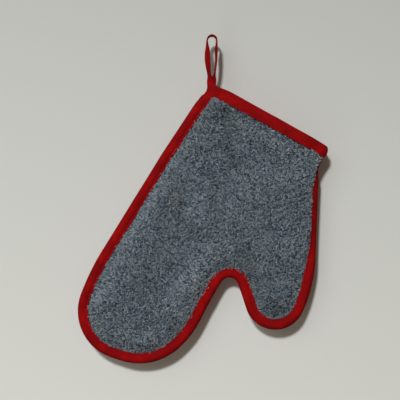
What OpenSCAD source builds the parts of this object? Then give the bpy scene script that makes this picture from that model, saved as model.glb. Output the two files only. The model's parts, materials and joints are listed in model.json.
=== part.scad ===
// Thumbed wash mitt of terry cloth, bound all round in tape, hanging by its tape loop.
// Millimetres. +Z is up, +Y points to the wall, and the origin is the axis of the loop's bight,
// where a hook bears. The mitt is drawn flat in its own pattern plane (u across the mouth,
// v up out of the mouth) and then turned to the angle at which it hangs.

/* [Outline] */
// Width of the mouth over its bound edges
cuff_w = 145; // [140:1:150]
// Length from the mouth to the fingertips
hand_l = 304; // [298:1:312]
// Width of the finger pocket
finger_w = 128; // [124:1:132]
// Reach of the thumb, across from the mouth's closed corner
thumb_out = 204; // [200:1:208]
// Length from the mouth to the tip of the thumb
thumb_l = 199; // [195:1:203]
// Length from the mouth to the crotch between thumb and fingers
crotch_l = 167; // [163:1:170]

/* [Layers] */
// Inside height of the hand pocket where it is full
pocket_h = 24; // [18:1:30]
// Thickness of the terry cloth with its pile
terry_t = 4; // [3:0.5:6]
// Thickness of the wadding under the terry
wadding_t = 2.4; // [1.5:0.1:4]
// Thickness of the lining cloth
lining_t = 0.8; // [0.5:0.1:1.2]
// Share of its thickness that a layer keeps where the seam presses it
seam_squash = 0.45; // [0.35:0.05:0.6]
// Clearance between layers
layer_gap = 0.2; // [0.1:0.05:0.3]

/* [Binding] */
// Width of the binding tape on each face
bind_w = 11; // [9:0.5:11]
// Thickness of the folded binding tape
bind_t = 1; // [0.8:0.1:1.4]
// Width of the tape that binds the mouth
cuff_bind_w = 12; // [10:0.5:13]
// Thickness of a line of sewing thread
thread_t = 0.6; // [0.4:0.1:0.8]

/* [Loop] */
// Angle of the mouth below level as the mitt hangs
hang_angle = 29; // [25:1:33]
// Inside radius of the loop's bight
bight_r = 4.5; // [4:0.5:5]
// Width of the loop's tape
loop_w = 11; // [10:0.5:12]
// Thickness of the loop's folded tape
loop_t = 1.5; // [1.2:0.1:1.6]
// Depth from the hook's axis to the line where the loop folds
fold_depth = 38; // [37:0.5:39]

/* [Hidden] */

// Colours
TERRY = [0.31, 0.34, 0.37];
BINDING = [0.49, 0.02, 0.03];
THREAD = [0.42, 0.02, 0.03];
WADDING = [0.93, 0.93, 0.90];
LINING = [0.42, 0.45, 0.48];

// Where the mouth's closed corner hangs below the hook
corner_x = -3;
corner_z = -44;

// Gap under a line of thread, so that it lies clear of the tape that it crosses
thread_gap = 0.05;

// Corners of the outline from the mouth's open corner round to its closed corner, each with
// the radius that rounds it
OUTLINE = [
    [cuff_w, 0, 0],
    [cuff_w, -28, 25],
    [thumb_out - 3, -134, 137],
    [thumb_out + 2, -thumb_l - 2, 31.5],
    [thumb_out - 46, 2 - thumb_l, 30],
    [finger_w - 13.5, 10 - crotch_l, 9],
    [finger_w - 13.5, 66 - hand_l, 130],
    [finger_w - 30, 10 - hand_l, 62],
    [-4, -hand_l - 9.5, 51.5],
    [-13.5, 74 - hand_l, 230],
    [-7, -92, 170],
    [0, 0, 0],
];
LAST = len(OUTLINE) - 1;
arc_step = 15;

// Insets from the outline: the cut edge of the cloth, the end of the flat seam, and the steps
// over which the cloth rises to its full height
edge_in = 1.4;
flat_in = bind_w + 0.5;
full_in = 28;
INSETS = [edge_in, flat_in, 14.5, 18, 22.5, full_in];

// Layer heights from the middle plane: [in the seam, where the pocket is full] for the inside
// of the lining and then both faces of each layer outwards
LAYERS = [lining_t, wadding_t, terry_t];
function under(k, squash) = k == 0 ? 0 : under(k - 1, squash) + LAYERS[k - 1] * squash + layer_gap;
function inner_face(k) = [layer_gap / 2 + under(k, seam_squash), pocket_h / 2 + under(k, 1)];
function outer_face(k) = inner_face(k) + LAYERS[k] * [seam_squash, 1];
seam_y = outer_face(2)[0] + layer_gap;
bind_y = seam_y + bind_t;

// Height of a face at an inset d from the outline
function rise(d) = d <= flat_in ? 0 : sin(90 * (d - flat_in) / (full_in - flat_in));
function height(face, d) = face[0] + (face[1] - face[0]) * rise(d);

// Outline geometry
function corner(i) = [OUTLINE[i].x, OUTLINE[i].y];
function edge_dir(i) = let (e = corner(i + 1) - corner(i)) e / norm(e);
function inward(i) = [edge_dir(i).y, -edge_dir(i).x];
function slide_to(p, dir, v) = p + dir * ((v - p.y) / dir.y);
function mitred(i, d) =
    let (a = inward(i - 1), b = inward(i))
    corner(i) + d * (a + b) / (1 + a * b);
function turn(i) =
    let (a = edge_dir(i - 1), b = edge_dir(i))
    atan2(a.y * b.x - a.x * b.y, a * b);
function spun(p, angle) = [p.x * cos(angle) - p.y * sin(angle), p.x * sin(angle) + p.y * cos(angle)];
function rounded(i, d) =
    let (
        bend = turn(i),
        side = sign(bend),
        r = OUTLINE[i].z - side * d,
        start = mitred(i, d) - edge_dir(i - 1) * r * tan(abs(bend) / 2),
        arm = -side * r * inward(i - 1),
        steps = ceil(abs(bend) / arc_step)
    )
    [for (k = [0:steps]) start - arm + spun(arm, -bend * k / steps)];

// The outline moved inwards by d, open at the mouth, with both ends at height v
function ring(d, v = 0) = concat(
    [slide_to(corner(0) + d * inward(0), edge_dir(0), v)],
    [for (i = [1:LAST - 1]) each rounded(i, d)],
    [slide_to(corner(LAST) + d * inward(LAST - 1), edge_dir(LAST - 1), v)]
);

// Joins rings of equal length into a solid. The two halves of a ring face each other, so each
// end is closed by a strip of quads between them.
function end_quads(first, around, flip) = [for (i = [0:around / 2 - 2])
    let (q = [first + i, first + i + 1, first + around - 2 - i, first + around - 1 - i])
    flip ? [q[3], q[2], q[1], q[0]] : q];
function tube_faces(rings, around) = concat(
    [for (j = [0:rings - 2], i = [0:around - 1])
        let (a = j * around + i, b = j * around + (i + 1) % around)
        each [[a, b, b + around], [a, b + around, a + around]]],
    end_quads(0, around, true),
    end_quads((rings - 1) * around, around, false)
);

// A profile of [inset, y] points swept along the outline
module along_outline(profile, v = 0) {
    sections = [for (p = profile) ring(p.x, v)];
    columns = len(sections[0]);
    points = [for (i = [0:columns - 1], k = [0:len(profile) - 1])
        [sections[k][i].x, profile[k].y, sections[k][i].y]];
    polyhedron(points, tube_faces(columns, len(profile)));
}

// One cloth layer of the front, from its inner to its outer face, open at the mouth
module front_layer(k) {
    inner = [for (d = INSETS) [d, -height(inner_face(k), d)]];
    outer = [for (d = INSETS) [d, -height(outer_face(k), d)]];
    profile = concat(inner, [for (i = [len(outer) - 1:-1:0]) outer[i]]);
    sections = [for (p = profile) ring(p.x)];
    columns = len(sections[0]);
    rows = len(profile);
    crown = len(INSETS) - 1;
    points = [for (i = [0:columns - 1], k = [0:rows - 1])
        [sections[k][i].x, profile[k].y, sections[k][i].y]];
    walls = [for (i = [0:columns - 2], k = [0:rows - 1])
        if (k != crown)
            let (a = i * rows + k, b = i * rows + (k + 1) % rows)
            each [[a, b, b + rows], [a, b + rows, a + rows]]];
    mouth = [for (i = [0:rows - 1]) i];
    mouth_end = [for (i = [0:rows - 1]) (columns - 1) * rows + i];
    palm_inner = [for (i = [0:columns - 1]) i * rows + crown];
    palm_outer = [for (i = [columns - 1:-1:0]) i * rows + crown + 1];
    lip = [
        palm_inner[0], palm_inner[0] + 1,
        palm_inner[columns - 1] + 1, palm_inner[columns - 1],
    ];
    polyhedron(points, concat(
        walls,
        [[for (i = [rows - 1:-1:0]) mouth[i]]],
        [mouth_end],
        [[for (i = [columns - 1:-1:0]) palm_inner[i]]],
        [[for (i = [columns - 1:-1:0]) palm_outer[i]]],
        [lip]
    ));
}

// Puts the pattern plane where the mitt hangs
module hung() {
    translate([corner_x, 0, corner_z]) rotate([0, hang_angle, 0]) children();
}
module mirrored() {
    mirror([0, 1, 0]) children();
}

module front_terry_panel() {
    color(TERRY) hung() front_layer(2);
}
module back_terry_panel() {
    color(TERRY) hung() mirrored() front_layer(2);
}
module front_wadding() {
    color(WADDING) hung() front_layer(1);
}
module back_wadding() {
    color(WADDING) hung() mirrored() front_layer(1);
}
module front_lining() {
    color(LINING) hung() front_layer(0);
}
module back_lining() {
    color(LINING) hung() mirrored() front_layer(0);
}

// Side binding: a tape folded over the cut edges, from under the mouth's tape right round
slit_in = edge_in - layer_gap;
side_top = -cuff_bind_w - 2 * layer_gap;
module side_binding() {
    face = [[bind_w, bind_y], [6, bind_y], [2, bind_y - 0.4], [0.4, seam_y - 1], [0, 1.5]];
    slot = [[bind_w, seam_y], [6, seam_y], [2.5, seam_y], [slit_in, seam_y], [slit_in, 1.5]];
    outside = concat(face, [for (i = [len(face) - 1:-1:0]) [face[i].x, -face[i].y]]);
    inside = concat([for (p = slot) [p.x, -p.y]], [for (i = [len(slot) - 1:-1:0]) slot[i]]);
    color(BINDING) hung() along_outline(concat(outside, inside), side_top);
}

// A line of thread on each face of the side binding
seam_in = bind_w - 1.5;
module side_seam_thread() {
    low = bind_y + thread_gap;
    line = [
        [seam_in - thread_t / 2, low + thread_t],
        [seam_in + thread_t / 2, low + thread_t],
        [seam_in + thread_t / 2, low],
        [seam_in - thread_t / 2, low],
    ];
    color(THREAD) hung() {
        mirrored() along_outline(line, side_top);
        along_outline(line, side_top);
    }
}

// The mouth's outline in section: [inset, y] pairs mirrored to both corners and both faces
lean = -corner(LAST - 1).x / corner(LAST - 1).y * cuff_bind_w;
function mouth_loop(half, left) = concat(
    [for (p = half) [left + p.x, -p.y]],
    [for (i = [len(half) - 1:-1:0]) [cuff_w - half[i].x, -half[i].y]],
    [for (p = half) [cuff_w - p.x, p.y]],
    [for (i = [len(half) - 1:-1:0]) [left + half[i].x, half[i].y]]
);
function over_terry(e) = [for (d = INSETS) if (d > edge_in) [d, height(outer_face(2), d) + e]];
function in_pocket(e) = [for (d = INSETS) if (d > flat_in) [d + e / 2, height(inner_face(0), d) - e]];
outer_in = mouth_loop(concat([[slit_in, seam_y]], over_terry(layer_gap)), lean);
outer_out = mouth_loop(concat([[0, seam_y - 1], [2, bind_y]], over_terry(layer_gap + bind_t)), lean);
pocket_out = mouth_loop(in_pocket(layer_gap), 0);
pocket_in = mouth_loop(in_pocket(layer_gap + bind_t), 0);

module band(outside, inside, low, high) {
    translate([0, 0, low]) linear_extrude(high - low) difference() {
        polygon(outside);
        polygon(inside);
    }
}

// The tape's continuation from the mouth's closed corner up to the fold of the loop
neck_x = -0.5;
neck_t = 2;
neck_top = -fold_depth - 2.5;
neck_foot = corner_z - 5;
neck_hem = corner_z - 3.5;
module neck() {
    half = loop_w / 2;
    rotate([90, 0, 0]) linear_extrude(neck_t, center = true) difference() {
        polygon([
            [neck_x - half, neck_top],
            [neck_x + half, neck_top],
            [neck_x + half, neck_foot],
            [corner_x, corner_z - 2],
            [neck_x - half, neck_hem],
        ]);
        translate([corner_x, corner_z]) rotate(-hang_angle) polygon(ring(slit_in + lean, layer_gap));
    }
}

// Mouth binding: one leaf over the terry, one leaf inside the pocket, joined over the edge
web_z = layer_gap;
web_top = layer_gap + bind_t;
module cuff_binding() {
    color(BINDING) {
        hung() {
            band(outer_out, outer_in, -cuff_bind_w, web_top);
            band(pocket_out, pocket_in, -cuff_bind_w, web_top);
            band(outer_out, pocket_in, web_z, web_top);
        }
        neck();
    }
}

// A line of thread round the outside of the mouth's tape and one round its inside
cuff_seam_v = 1.5 - cuff_bind_w;
module cuff_seam_thread() {
    on_tape = layer_gap + bind_t + thread_gap;
    outer_low = mouth_loop(
        concat([[-thread_gap, seam_y - 1], [2 - thread_gap, bind_y + thread_gap]], over_terry(on_tape)),
        lean
    );
    outer_high = mouth_loop(
        concat([[-thread_t, seam_y - 1], [2 - thread_t, bind_y + thread_t]], over_terry(on_tape + thread_t)),
        lean
    );
    color(THREAD) hung() {
        band(outer_high, outer_low, cuff_seam_v, cuff_seam_v + thread_t);
        band(
            mouth_loop(in_pocket(on_tape), 0),
            mouth_loop(in_pocket(on_tape + thread_t), 0),
            cuff_seam_v, cuff_seam_v + thread_t
        );
    }
}

// Hanging loop: a bight over the hook and two legs that close and turn flat to the wall
leg_end = 5 - fold_depth;
leg_steps = 12;
function ease(t) = (1 - cos(180 * t)) / 2;
function leg_twist(t) = 90 * ease(max(0, t - 0.35) / 0.65);
function leg_gap(t) = (bight_r + loop_t / 2) * (1 - ease(t)) + (loop_t + 0.1) / 2 * ease(t);
function leg_point(t, side, across, out) =
    let (
        twist = leg_twist(t),
        normal = [cos(twist), sin(twist)],
        wide = [-sin(twist), cos(twist)],
        p = side * normal * (leg_gap(t) + out) + wide * across
    )
    [p.x + neck_x * t, p.y, leg_end * t];

// A rectangle [across from, to] by [out from, to] swept down a leg
module leg(side, across, out) {
    ends = side > 0 ? across : [across[1], across[0]];
    points = [for (k = [0:leg_steps])
        let (t = k / leg_steps)
        each [
            leg_point(t, side, ends[0], out[0]),
            leg_point(t, side, ends[0], out[1]),
            leg_point(t, side, ends[1], out[1]),
            leg_point(t, side, ends[1], out[0]),
        ]];
    polyhedron(points, tube_faces(leg_steps + 1, 4));
}

// The half ring over the hook with the same rectangle
module bight(across, out) {
    rotate([90, 0, 0]) rotate_extrude(angle = 180, $fn = 64)
        translate([bight_r + loop_t / 2 + out[0], -across[1]])
            square([out[1] - out[0], across[1] - across[0]]);
}

stem_t = 2;
stem_lap = 0.5;
module hanging_loop() {
    tape = [-loop_w / 2, loop_w / 2];
    thick = [-loop_t / 2, loop_t / 2];
    color(BINDING) {
        bight(tape, thick);
        leg(1, tape, thick);
        leg(-1, tape, thick);
        translate([neck_x - loop_w / 2, -stem_t / 2, -fold_depth])
            cube([loop_w, stem_t, leg_end + fold_depth + stem_lap]);
        translate([neck_x, 0, -fold_depth]) rotate([0, 90, 0])
            cylinder(d = stem_t, h = loop_w, center = true, $fn = 32);
    }
}

// The thread that closes the long edge of the loop's folded tape
edge_seam = 1.6;
module loop_edge_thread() {
    line = [loop_w / 2 - edge_seam, loop_w / 2 - edge_seam + thread_t];
    proud = [loop_t / 2 + thread_gap, loop_t / 2 + thread_gap + thread_t / 2];
    color(THREAD) {
        bight(line, proud);
        leg(1, line, proud);
        leg(-1, line, proud);
    }
}

// The close bars of thread that tack the loop's end to the mouth's corner
tack_z = corner_z - 4.6;
tack_w = 8;
tack_t = 0.5;
tack_lift = 0.3;
tack_bars = 5;
tack_pitch = 0.9;
module loop_bartack() {
    color(THREAD) for (side = [-1, 1], k = [0:tack_bars - 1])
        translate([neck_x - tack_w / 2, side * (bind_y + tack_lift) - tack_t / 2, tack_z - k * tack_pitch])
            cube([tack_w, tack_t, tack_pitch / 2]);
}

front_terry_panel();
back_terry_panel();
front_wadding();
back_wadding();
front_lining();
back_lining();
side_binding();
side_seam_thread();
cuff_binding();
cuff_seam_thread();
hanging_loop();
loop_edge_thread();
loop_bartack();
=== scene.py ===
# %% [markdown]
# # A terry wash mitt on its tape loop
# The real mitt is two terry panels with a lining, bound all round in folded red tape, and hung up by
# a loop of the same tape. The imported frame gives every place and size; this script gives the looks.

import json
import math

import bmesh
import bpy
import numpy as np
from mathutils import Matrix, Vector, geometry, noise

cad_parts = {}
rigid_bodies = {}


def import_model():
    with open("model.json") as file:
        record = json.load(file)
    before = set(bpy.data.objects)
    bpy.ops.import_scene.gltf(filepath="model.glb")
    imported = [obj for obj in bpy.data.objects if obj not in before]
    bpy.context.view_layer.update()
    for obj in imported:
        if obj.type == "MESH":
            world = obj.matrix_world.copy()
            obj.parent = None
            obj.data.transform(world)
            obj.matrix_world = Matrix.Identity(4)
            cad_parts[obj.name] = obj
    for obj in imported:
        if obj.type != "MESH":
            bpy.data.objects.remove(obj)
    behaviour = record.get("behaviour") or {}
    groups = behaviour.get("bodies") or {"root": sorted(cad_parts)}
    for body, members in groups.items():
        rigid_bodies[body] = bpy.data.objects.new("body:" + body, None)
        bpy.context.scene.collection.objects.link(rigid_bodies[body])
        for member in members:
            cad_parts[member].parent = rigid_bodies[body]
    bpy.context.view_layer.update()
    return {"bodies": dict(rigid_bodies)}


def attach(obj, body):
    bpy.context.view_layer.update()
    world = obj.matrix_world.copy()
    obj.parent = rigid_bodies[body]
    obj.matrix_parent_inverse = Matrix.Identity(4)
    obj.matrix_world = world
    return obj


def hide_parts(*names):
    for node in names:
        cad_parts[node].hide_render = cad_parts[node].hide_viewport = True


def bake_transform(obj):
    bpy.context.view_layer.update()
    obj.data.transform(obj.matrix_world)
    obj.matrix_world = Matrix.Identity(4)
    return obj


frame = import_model()
scene = bpy.context.scene

# %% [markdown]
# ## The pattern's own axes
# A mitt is cut flat, so its pieces are easiest to describe on the cutting table: u runs across the
# mouth, v from the fingertips up to the mouth, and w through the thickness, in millimetres. One
# function then hangs the flat pattern by its corner, tilted, and turns it to metres.

# %% From the cutting table to the hanging mitt
HANG = math.radians(29)
CORNER_X, CORNER_Z = -3.0, -44.0


def hung(points):
    """Points (u, v, w) in mm on the pattern become points in metres as the mitt hangs."""
    p = np.asarray(points, float)
    u, v, w = p[..., 0], p[..., 1], p[..., 2]
    x = CORNER_X + u * math.cos(HANG) + v * math.sin(HANG)
    z = CORNER_Z - u * math.sin(HANG) + v * math.cos(HANG)
    return np.stack([x, w, z], -1) / 1000


def smooth(t):
    """0 to 1 with soft ends, for numbers or arrays."""
    t = np.clip(t, 0, 1)
    return t * t * (3 - 2 * t)


def wander(values, wave, seed):
    """A slow random walk between -1 and 1 along a list of lengths in mm."""
    return np.array([noise.noise(Vector((x / wave, seed, 0.5))) for x in values])


print("corner hangs at", hung([0, 0, 0]).round(4))

# %% [markdown]
# ## Colours and nodes
# A colour is picked as a screen value, such as a hex code, but Blender mixes light in linear values,
# so one function converts it. A second adds any node with its settings and links, which keeps the
# material cells down to what is special about each finish.


# %% Colour and node helpers
def linear(code):
    """An sRGB hex code as a linear RGBA colour."""
    parts = [int(code[i : i + 2], 16) / 255 for i in (0, 2, 4)]
    return tuple(c / 12.92 if c < 0.04045 else ((c + 0.055) / 1.055) ** 2.4 for c in parts) + (1.0,)


def add_node(tree, kind, settings=None, **inputs):
    """A node of that kind. Inputs are named with _ for a space; a socket makes a link, else a value."""
    node = tree.nodes.new(kind)
    for key, value in (settings or {}).items():
        setattr(node, key, value)
    for key, value in inputs.items():
        name = int(key[1:]) if key[0] == "i" and key[1:].isdigit() else key.replace("_", " ")
        if isinstance(value, bpy.types.NodeSocket):
            tree.links.new(value, node.inputs[name])
        else:
            node.inputs[name].default_value = value
    return node


def new_material(name):
    """An empty node material: its tree and its Principled shader."""
    made = bpy.data.materials.new(name)
    made.use_nodes = True
    return made, made.node_tree, made.node_tree.nodes["Principled BSDF"]


def ramp(tree, factor, stops):
    """A colour ramp through (place, hex colour) stops."""
    node = add_node(tree, "ShaderNodeValToRGB", Fac=factor)
    band = node.color_ramp
    while len(band.elements) < len(stops):
        band.elements.new(0.5)
    for element, (place, code) in zip(band.elements, stops):
        element.position, element.color = place, linear(code)
    return node.outputs["Color"]

print("colour helper: white is", linear("ffffff"))

# %% [markdown]
# ## Terry loops: cotton yarn, dyed blue-grey
# Terry is woven with a slack warp that stands up in loops. The loops scatter light, so the cloth has
# no gloss, only a faint sheen at its limb. The shade between the loops is painted: each loop is darkened
# towards its root, and folds are painted darker and ridges lighter. Each loop carries two numbers made
# with it: its own tone, and how far up the loop a point is.

# %% Terry loop material
MM = 1000.0  # object coordinates are metres, so a pattern scale of MM / size repeats every size mm


def terry_yarn():
    made, tree, shader = new_material("terry_loop_cotton_dyed")
    place = add_node(tree, "ShaderNodeTexCoord").outputs["Object"]
    tone = add_node(tree, "ShaderNodeAttribute", {"attribute_name": "tuft_tone"}).outputs["Fac"]
    rise = add_node(tree, "ShaderNodeAttribute", {"attribute_name": "tuft_rise"}).outputs["Fac"]
    # dye takes unevenly over 20 to 40 mm patches
    patch = add_node(tree, "ShaderNodeTexNoise", Vector=place, Scale=MM / 30, Detail=3.0)
    dye = add_node(
        tree, "ShaderNodeMath", {"operation": "MULTIPLY_ADD"}, i0=patch.outputs["Fac"], i1=0.34, i2=0.0
    )
    mixed = add_node(
        tree, "ShaderNodeMath", {"operation": "MULTIPLY_ADD"}, i0=tone, i1=0.75, i2=dye.outputs[0]
    )
    dyed = ramp(tree, mixed.outputs[0], [(0.12, "536473"), (0.5, "b6d0e3"), (0.88, "f2fbff")])
    # painted shade: each loop is darkened towards its root, where its neighbours shade it
    painted_root_shade = add_node(
        tree, "ShaderNodeMapRange", Value=rise, From_Min=0.0, From_Max=0.8, To_Min=0.34, To_Max=1.0
    )
    multiply = {"data_type": "RGBA", "blend_type": "MULTIPLY"}
    shade = add_node(tree, "ShaderNodeMix", multiply, i0=1.0, i6=dyed, i7=painted_root_shade.outputs[0])
    # painted shade and light: loops are darkened where the panel sinks into a fold and lightened where it
    # rises in a ridge, by the fold depth stored with each point
    painted_fold_shade = add_node(tree, "ShaderNodeAttribute", {"attribute_name": "painted_fold_shade"}).outputs["Fac"]
    fold_shade_factor = add_node(tree, "ShaderNodeMath", {"operation": "MULTIPLY_ADD"}, i0=painted_fold_shade, i1=-0.095, i2=1.0)
    fold_shaded = add_node(
        tree,
        "ShaderNodeMix",
        {"data_type": "RGBA", "blend_type": "MULTIPLY"},
        i0=1.0,
        i6=shade.outputs[2],
        i7=fold_shade_factor.outputs[0],
    )
    # 0.35 mm ply twist, drawn at 0.5 mm so that it shows
    twist = add_node(tree, "ShaderNodeTexNoise", Vector=place, Scale=MM / 0.5, Detail=2.0)
    bump = add_node(tree, "ShaderNodeBump", Strength=0.5, Distance=0.0003, Height=twist.outputs["Fac"])
    tree.links.new(fold_shaded.outputs[2], shader.inputs["Base Color"])
    tree.links.new(bump.outputs["Normal"], shader.inputs["Normal"])
    shader.inputs["Roughness"].default_value = 0.95
    shader.inputs["Specular IOR Level"].default_value = 0.15
    shader.inputs["Sheen Weight"].default_value = 0.12
    shader.inputs["Sheen Roughness"].default_value = 0.6
    return made


def plain_weave(name, low, high, thread, bump_mm, roughness=0.9, sheen=0.05):
    """Flat woven cotton: over-and-under threads every `thread` mm, with slow dye variation."""
    made, tree, shader = new_material(name)
    place = add_node(tree, "ShaderNodeTexCoord").outputs["Object"]
    warp, weft = (
        add_node(
            tree,
            "ShaderNodeTexWave",
            {"wave_type": "BANDS", "bands_direction": way, "wave_profile": "SIN"},
            Vector=place,
            Scale=MM / thread / (2 * math.pi) * 1.0,
            Distortion=1.2,
            Detail=2.0,
        ).outputs["Fac"]
        for way in ("X", "Z")
    )
    cross = add_node(tree, "ShaderNodeMath", {"operation": "MULTIPLY"}, i0=warp, i1=weft).outputs[0]
    patch = add_node(tree, "ShaderNodeTexNoise", Vector=place, Scale=MM / 25, Detail=5.0)
    mixed = add_node(
        tree, "ShaderNodeMath", {"operation": "MULTIPLY_ADD"}, i0=cross, i1=0.35, i2=patch.outputs["Fac"]
    )
    colour = ramp(tree, mixed.outputs[0], [(0.35, low), (0.85, high)])
    bump = add_node(tree, "ShaderNodeBump", Strength=0.6, Distance=bump_mm / MM, Height=cross)
    tree.links.new(colour, shader.inputs["Base Color"])
    tree.links.new(bump.outputs["Normal"], shader.inputs["Normal"])
    shader.inputs["Roughness"].default_value = roughness
    shader.inputs["Specular IOR Level"].default_value = 0.2
    shader.inputs["Sheen Weight"].default_value = sheen
    return made


TERRY_LOOP = terry_yarn()
# the terry's ground cloth is real, but it is painted as dark as the loops' shaded roots: painted shade for
# the gaps between the loops
TERRY_GROUND_SHADED = plain_weave("terry_ground_cloth_painted_shade", "303942", "485360", 1.2, 0.6)
LINING = plain_weave("lining_cotton_calico", "b4b6b4", "d2d3cf", 0.7, 0.15)
WADDING = plain_weave("wadding_polyester_needled", "d8d8d4", "efefec", 1.6, 0.5, 1.0, 0.2)

print("made the pile, wadding and lining materials")

# %% [markdown]
# ## Bias tape and its thread
# The binding is bias tape: polyester-cotton cut at 45 degrees to its threads and folded, so that it
# stretches round curves. Its weave shows as a fine diagonal grain, it has a slight silkiness, and its
# folded edges catch light. The pattern follows the tape's own length, so it reads a UV map in which
# one unit is 10 mm of tape. The thread is spun polyester of the same red, a little glossier.


# %% Tape and thread materials
def bias_tape():
    made, tree, shader = new_material("bias_tape_polycotton_woven_red")
    run = add_node(tree, "ShaderNodeUVMap", {"uv_map": "tape"}).outputs["UV"]
    place = add_node(tree, "ShaderNodeTexCoord").outputs["Object"]
    # threads lie at 45 degrees, 0.3 mm apart, drawn at 0.5 mm so that they show
    turned = add_node(tree, "ShaderNodeMapping", Vector=run, Rotation=(0, 0, math.radians(45)))
    warp, weft = (
        add_node(
            tree,
            "ShaderNodeTexWave",
            {"wave_type": "BANDS", "bands_direction": way, "wave_profile": "SIN"},
            Vector=turned.outputs["Vector"],
            Scale=10 / 0.5 / (2 * math.pi),
            Distortion=0.8,
            Detail=1.0,
        ).outputs["Fac"]
        for way in ("X", "Y")
    )
    weave = add_node(tree, "ShaderNodeMath", {"operation": "MULTIPLY"}, i0=warp, i1=weft).outputs[0]
    patch = add_node(tree, "ShaderNodeTexNoise", Vector=place, Scale=MM / 14, Detail=4.0)
    tone = add_node(
        tree, "ShaderNodeMath", {"operation": "MULTIPLY_ADD"}, i0=weave, i1=0.12, i2=patch.outputs["Fac"]
    )
    colour = ramp(tree, tone.outputs[0], [(0.3, "6c0002"), (0.6, "840103"), (0.85, "980507")])
    fine = add_node(tree, "ShaderNodeBump", Strength=0.5, Distance=0.0002, Height=weave)
    # slight crinkles of 4 mm from the sewing
    crinkle = add_node(tree, "ShaderNodeTexNoise", Vector=place, Scale=MM / 4, Detail=2.0)
    bump = add_node(
        tree,
        "ShaderNodeBump",
        Strength=0.45,
        Distance=0.0008,
        Height=crinkle.outputs["Fac"],
        Normal=fine.outputs["Normal"],
    )
    tree.links.new(colour, shader.inputs["Base Color"])
    tree.links.new(bump.outputs["Normal"], shader.inputs["Normal"])
    shader.inputs["Roughness"].default_value = 0.85
    shader.inputs["Specular IOR Level"].default_value = 0.1
    return made


def spun_thread():
    made, tree, shader = new_material("sewing_thread_polyester_red")
    place = add_node(tree, "ShaderNodeTexCoord").outputs["Object"]
    ply = add_node(tree, "ShaderNodeTexNoise", Vector=place, Scale=MM / 0.6, Detail=2.0)
    colour = ramp(tree, ply.outputs["Fac"], [(0.3, "6a0003"), (0.7, "8c0508")])
    bump = add_node(tree, "ShaderNodeBump", Strength=0.5, Distance=0.0002, Height=ply.outputs["Fac"])
    tree.links.new(colour, shader.inputs["Base Color"])
    tree.links.new(bump.outputs["Normal"], shader.inputs["Normal"])
    shader.inputs["Roughness"].default_value = 0.7
    shader.inputs["Specular IOR Level"].default_value = 0.15
    return made


TAPE = bias_tape()
THREAD = spun_thread()
print("materials", [m.name for m in bpy.data.materials])

# %% [markdown]
# ## The cut line
# The cutter's outline is straight runs joined by rounded corners: down the short side, round the
# thumb, up into the crotch, round the fingertips and up the long side. Every seam, tape and panel
# below is measured inwards from this one line, so it is sampled once, with its inward direction.

# %% The outline of the mitt
OUTLINE = [  # u, v and rounding radius of each corner, in mm
    (145, 0, 0),
    (145, -28, 25),
    (201, -134, 137),
    (206, -201, 31.5),
    (158, -197, 30),
    (114.5, -157, 9),
    (114.5, -238, 130),
    (98, -294, 62),
    (-4, -313.5, 51.5),
    (-13.5, -230, 230),
    (-7, -92, 170),
    (0, 0, 0),
]
EDGE_STEP = 1.0


def cut_line():
    """Points every EDGE_STEP mm along the outline, with the inward direction and the length so far."""
    corners = np.array(OUTLINE, float)
    line = [corners[0, :2]]
    for before, here, after in zip(corners, corners[1:], corners[2:]):
        a = (here - before)[:2] / np.linalg.norm((here - before)[:2])
        b = (after - here)[:2] / np.linalg.norm((after - here)[:2])
        turn = math.atan2(a[0] * b[1] - a[1] * b[0], a @ b)
        start = here[:2] - a * here[2] * math.tan(abs(turn) / 2)
        side = np.array([-a[1], a[0]]) * math.copysign(1, turn)
        for k in range(25):
            t = abs(turn) * k / 24
            line.append(start + here[2] * (a * math.sin(t) + side * (1 - math.cos(t))))
    line.append(corners[-1, :2])
    line = np.array(line)
    steps = np.linalg.norm(np.diff(line, axis=0), axis=1)
    keep = np.r_[True, steps > 1e-6]
    line = line[keep]
    run = np.r_[0, np.cumsum(np.linalg.norm(np.diff(line, axis=0), axis=1))]
    count = int(round(run[-1] / EDGE_STEP))
    at = np.linspace(0, run[-1], count + 1)
    points = np.stack([np.interp(at, run, line[:, k]) for k in (0, 1)], -1)
    along = np.gradient(points, axis=0)
    along /= np.linalg.norm(along, axis=1)[:, None]
    return points, np.stack([along[:, 1], -along[:, 0]], -1), at


EDGE, INWARD, RUN = cut_line()
EDGE_LENGTH = RUN[-1]
print(f"outline {EDGE_LENGTH:.0f} mm in {len(EDGE)} points")

# %% [markdown]
# ## How the seam lies
# On most of the edge the bound seam lies flat between the two faces. Under the mouth's short side the
# cloth has twisted in use, and the seam has rolled round to the back, so that the front terry turns
# the corner by itself. One angle along the edge says this, and everything sewn there follows it.

# %% The seam's place and lie
ROLL_AT = [0, 18, 42, 102, 136]  # mm along the edge
ROLL_BY = [88, 88, 53, 48, 0]  # degrees that the seam is turned to the back there
BULGE_AT = [0, 14, 26, 40, 57, 99, 141, 286, 304, 330, 368]  # mm along the edge
BULGE_BY = [0, 0.6, 2.6, 2.4, 2.1, 1.2, 0, 0, -1.6, -1.8, 0]  # mm that the seam stands out there
BAND = 11.0  # tape width on each face
# the tape's outer section, as inset from the edge and distance from the seam's middle
OUTSIDE = [(10.9, 3.2), (11.3, 3.6), (11.0, 4.0), (10.3, 4.1), (9.4, 3.8), (8.5, 4.2), (7.0, 4.9), (5.2, 5.3)]
OUTSIDE += [(3.4, 5.1), (1.9, 4.3), (0.8, 3.0), (0.2, 1.5), (0.0, 0.0)]
SEAM_HALF = 3.1  # half the seam's squashed thickness at the terry's ground cloth
FULL_HALF = 15.2  # half the thickness of the open hand, at the ground cloth
RISE_END = 28.0  # inset where the full thickness is reached


ROLL_RUN = np.arange(0, 160, 1.0)
ROLL_SOFT = np.convolve(
    np.pad(np.interp(ROLL_RUN, ROLL_AT, ROLL_BY), 8, "edge"), np.ones(17) / 17, "valid"
)


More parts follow.
